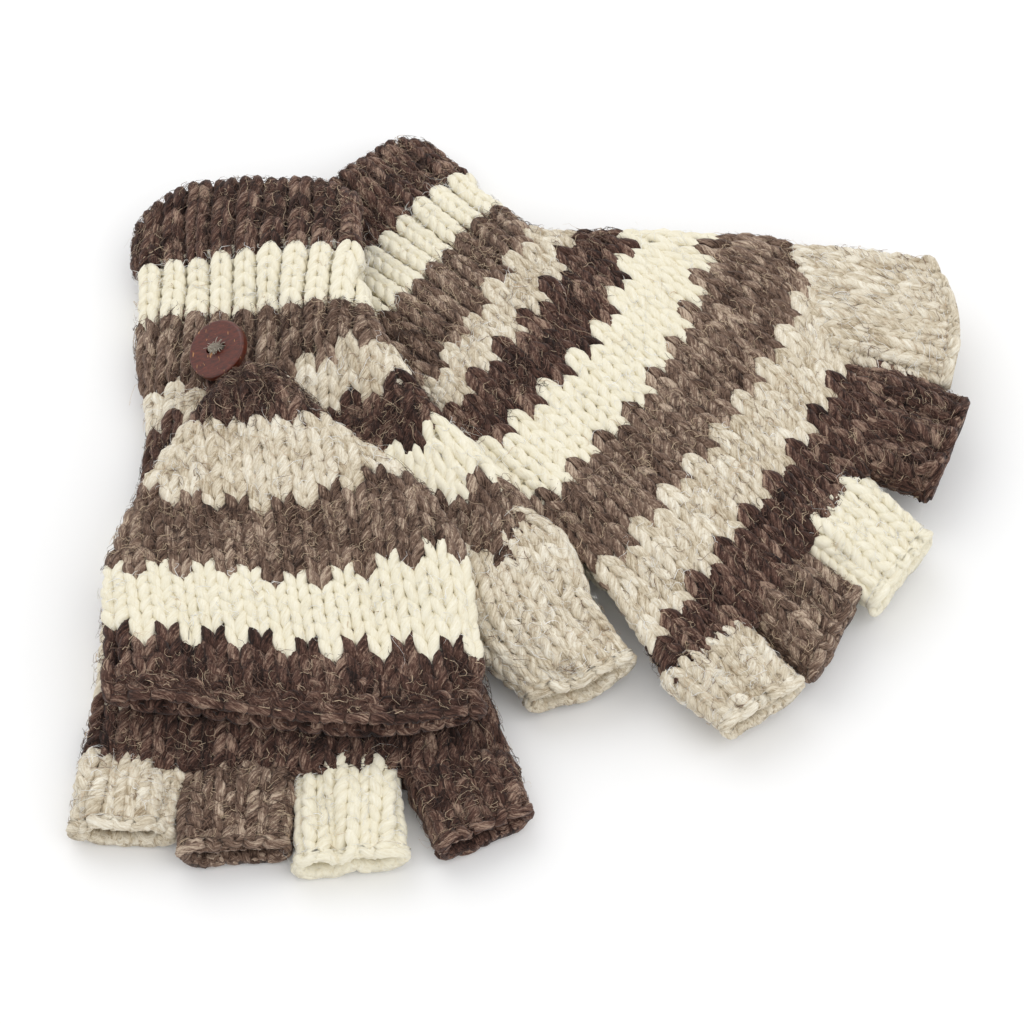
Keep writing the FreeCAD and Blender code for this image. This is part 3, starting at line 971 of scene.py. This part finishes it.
# ---- button, its thread and the loop -----------------------------------------------------------------
def coconut():
    nodes = Nodes("coconut_shell")
    place = nodes.node("ShaderNodeTexCoord").outputs["Object"]
    grain = nodes.noise(nodes.scaled(place, (420, 1500, 900)), 1.0, 4.0, 0.6, 0.4)
    flecks = nodes.noise(nodes.scaled(place, (1500, 380, 900)), 1.0, 1.0, 0.4)
    base = nodes.ramp(grain, [
        (0.25, linear(50, 16, 6)), (0.5, linear(82, 29, 13)), (0.75, linear(104, 41, 19))])
    mask = nodes.ramp(flecks, [(0.70, (0, 0, 0, 1)), (0.74, (0.8, 0.8, 0.8, 1))])
    nodes.join(nodes.mix(mask, base, linear(176, 124, 72)), nodes.shader.inputs["Base Color"])
    nodes.bump(grain, 0.12, 0.0002)
    nodes.set(Roughness=0.38, Coat_Weight=0.2, Coat_Roughness=0.2)
    return nodes.material


LOOP_BEHIND = 2.2           # middle of the loop behind the button's back


def hinge_named(name):
    return next(j for j in frame["joints"] if j["name"] == name)


BUTTON_FACE = 3.2           # the button's thickness, and its holes' distance from its middle
BUTTON_HOLE = 2.1
SEWING_STRANDS = 7
SEWING_RADIUS = 0.34
SEWING_SPREAD = 0.28
TUFT_FIBRES = 40
TUFT_RADIUS = 0.10
TUFT_REACH = (1.0, 3.2)
TUFT_START = 1.6            # how far from the button's middle a tuft fibre may start
SHANK_RADIUS = 0.75
LOOP_RADIUS = 4.9           # bend of the loop round the button's shank
LOOP_SAMPLES = 120
LOOP_END = 30               # samples over which each end sinks into the cap
LOOP_STRANDS = 3
LOOP_STRAND_RADIUS = 0.95
LOOP_STRAND_OFFSET = 0.85
LOOP_TWIST = 0.75           # radians per millimetre


def button_thread(side):
    """Wool sewn through both holes, ending in a small tuft on the button's face."""
    joint = hinge_named(side + "_button_turn")
    axis = np.array(joint["axis"])
    centre = np.array(joint["pos_m"]) / MM
    across = unit(np.cross(axis, [0.0, 1.0, 0.0]))
    other = np.cross(axis, across)
    face, hole = BUTTON_FACE, BUTTON_HOLE
    pile = Pile()
    for index in range(SEWING_STRANDS):
        spread = (index - SEWING_STRANDS // 2) * SEWING_SPREAD
        rise = 0.5 + 0.5 * rng.random()
        points = []
        for share in np.linspace(0, 1, 15):
            x = hole * math.cos(share * math.pi)
            z = face - 2.8 + (2.8 + rise) * min(1.0, math.sin(share * math.pi) * 2.2)
            wobble = spread * math.sin(share * math.pi) + 0.12 * rng.standard_normal()
            points.append(centre + across * x + other * wobble + axis * z)
        line = np.array(points)
        normal = np.tile(other, (len(line), 1))
        sweep(pile, line, normal, SEWING_RADIUS, SEWING_RADIUS, False, rng.random(), sides=6)
    for _ in range(TUFT_FIBRES):
        angle = rng.uniform(0, 2 * math.pi)
        out = across * math.cos(angle) + other * math.sin(angle)
        reach = rng.uniform(*TUFT_REACH)
        start = centre + axis * (face + 0.3) + across * rng.uniform(-TUFT_START, TUFT_START)
        shares = np.linspace(0, 1, 6)[:, None]
        line = start + out * reach * shares + axis * (0.9 * np.sin(shares * 2.2))
        normal = np.tile(axis, (6, 1))
        sweep(pile, line, normal, TUFT_RADIUS, TUFT_RADIUS, False, rng.random(), sides=6)
    for leg in (-1, 1):
        low = centre + across * hole * leg - axis * 3.3
        line = np.array([low + axis * x for x in np.linspace(0, BUTTON_FACE, 6)])
        sweep(pile, line, np.tile(other, (6, 1)), SHANK_RADIUS, SHANK_RADIUS, False, 0.5, sides=6)
    return pile


def button_loop(side, cap_tip):
    """A three-strand twisted cord from the cap's tip round the button's shank and back."""
    joint = hinge_named(side + "_button_turn")
    axis = np.array(joint["axis"])
    centre = np.array(joint["pos_m"]) / MM
    plan = right_plan if side == "right" else left_plan
    across = unit(np.cross(axis, plan.along))
    ahead = np.cross(across, axis)
    level = centre - axis * LOOP_BEHIND
    radius = LOOP_RADIUS
    path = [level + across * radius + ahead * x for x in np.linspace(cap_tip, 0, 10)]
    for angle in np.linspace(0, math.pi, 14)[1:-1]:
        path.append(level + across * radius * math.cos(angle) - ahead * radius * math.sin(angle))
    path += [level - across * radius + ahead * x for x in np.linspace(0, cap_tip, 10)]
    path = even(np.array(path), LOOP_SAMPLES)
    sink = np.zeros(LOOP_SAMPLES)
    sink[:LOOP_END] = np.linspace(1, 0, LOOP_END) ** 2
    sink[-LOOP_END:] = np.linspace(0, 1, LOOP_END) ** 2
    path = path + axis * (sink * 0.5)[:, None]
    tangent = unit(np.gradient(path, axis=0))
    one = unit(np.cross(tangent, axis))
    two = np.cross(one, tangent)
    run = lengths(path)
    pile = Pile()
    for strand in range(LOOP_STRANDS):
        turn = run * LOOP_TWIST + strand * 2 * math.pi / LOOP_STRANDS
        offset = one * np.cos(turn)[:, None] + two * np.sin(turn)[:, None]
        line = path + offset * LOOP_STRAND_OFFSET
        tone = np.full(len(line), 0.3 + 0.2 * strand)
        sweep(pile, line, two, LOOP_STRAND_RADIUS, LOOP_STRAND_RADIUS, False, tone, strand * 90.0)
    return pile


# ---- put it together ---------------------------------------------------------------------------------
make_camera()

GLOVES = {
    "right": (right_plan, RIGHT_MAIN, RIGHT_BANDS, RIGHT_THUMB_TUBE, RIGHT_FINGERS,
              (CAP_ROWS_RIGHT, RIGHT_CAP_LIFT, CAP_BANDS)),
    "left": (left_plan, LEFT_MAIN, LEFT_BANDS, LEFT_THUMB_TUBE, LEFT_FINGERS,
             (CAP_ROWS_LEFT, LEFT_CAP_LIFT, CAP_BANDS_LEFT)),
}
for side, (plan, controls, bands, thumb, fingers, cap) in GLOVES.items():
    knit_hand(side, plan, controls, bands)
    knit_thumb(side, plan, thumb)
    for finger, shape in fingers.items():
        knit_finger(side, plan, finger, shape)
    knit_cap(side, plan, *cap)


def body_of(node):
    side, _, rest = node.partition("_")
    return side + ("_cap" if rest in ("mitten_cap", "cap_rim") else "_glove")


for (node, colour), pile in pieces_made.items():
    piece = pile.build(node + "_" + colour, WOOLS[colour])
    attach(piece, body_of(node))
    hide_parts(node)

for (node, shade), pile in fibre_piles.items():
    piece = pile.build(node + "_" + shade + "_fibres", FIBRES[shade])
    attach(piece, body_of(node))

shell = coconut()
thread_wool = wool("button_thread", [
    (0.3, linear(96, 86, 76)), (0.5, linear(150, 140, 126)), (0.7, linear(196, 188, 172))], 1.5, 0.2)
LOOP_REACH_AHEAD = {"left": 12.0, "right": 14.0}
for side in ("left", "right"):
    button = frame["nodes"][side + "_button"]
    button.data.materials.clear()
    button.data.materials.append(shell)
    thread = button_thread(side).build(side + "_sewing_wool", thread_wool)
    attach(thread, side + "_button")
    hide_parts(side + "_button_thread")
    loop = button_loop(side, LOOP_REACH_AHEAD[side]).build(side + "_twisted_loop", WOOLS[DARK])
    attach(loop, side + "_cap")
    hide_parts(side + "_button_loop")


# ---- floor and light ---------------------------------------------------------------------------------
def make_floor():
    mesh = bpy.data.meshes.new("floor")
    half = 3.0
    mesh.from_pydata([(-half, -half, 0), (half, -half, 0), (half, half, 0), (-half, half, 0)], [],
                     [(0, 1, 2, 3)])
    nodes = Nodes("floor")
    nodes.shader.inputs["Base Color"].default_value = (0.93, 0.93, 0.93, 1.0)
    nodes.set(Roughness=0.95)
    mesh.materials.append(nodes.material)
    floor = bpy.data.objects.new("floor", mesh)
    bpy.context.scene.collection.objects.link(floor)


def area_light(name, place, target, size, power):
    data = bpy.data.lights.new(name, "AREA")
    data.shape = "DISK"
    data.size = size
    data.energy = power
    light = bpy.data.objects.new(name, data)
    bpy.context.scene.collection.objects.link(light)
    light.location = place
    aim = Vector(target) - Vector(place)
    light.rotation_euler = aim.to_track_quat("-Z", "Y").to_euler()


def make_world():
    world = bpy.data.worlds.new("studio")
    bpy.context.scene.world = world
    world.use_nodes = True
    background = world.node_tree.nodes["Background"]
    background.inputs["Color"].default_value = (1.0, 1.0, 1.0, 1.0)
    background.inputs["Strength"].default_value = 0.93


make_floor()
area_light("key", (-0.5, 0.7, 1.1), (0, 0, 0), 1.2, 4.0)
area_light("fill", (0.8, -0.4, 1.0), (0, 0, 0), 1.4, 3.0)
make_world()
bpy.context.scene.view_settings.view_transform = "Standard"
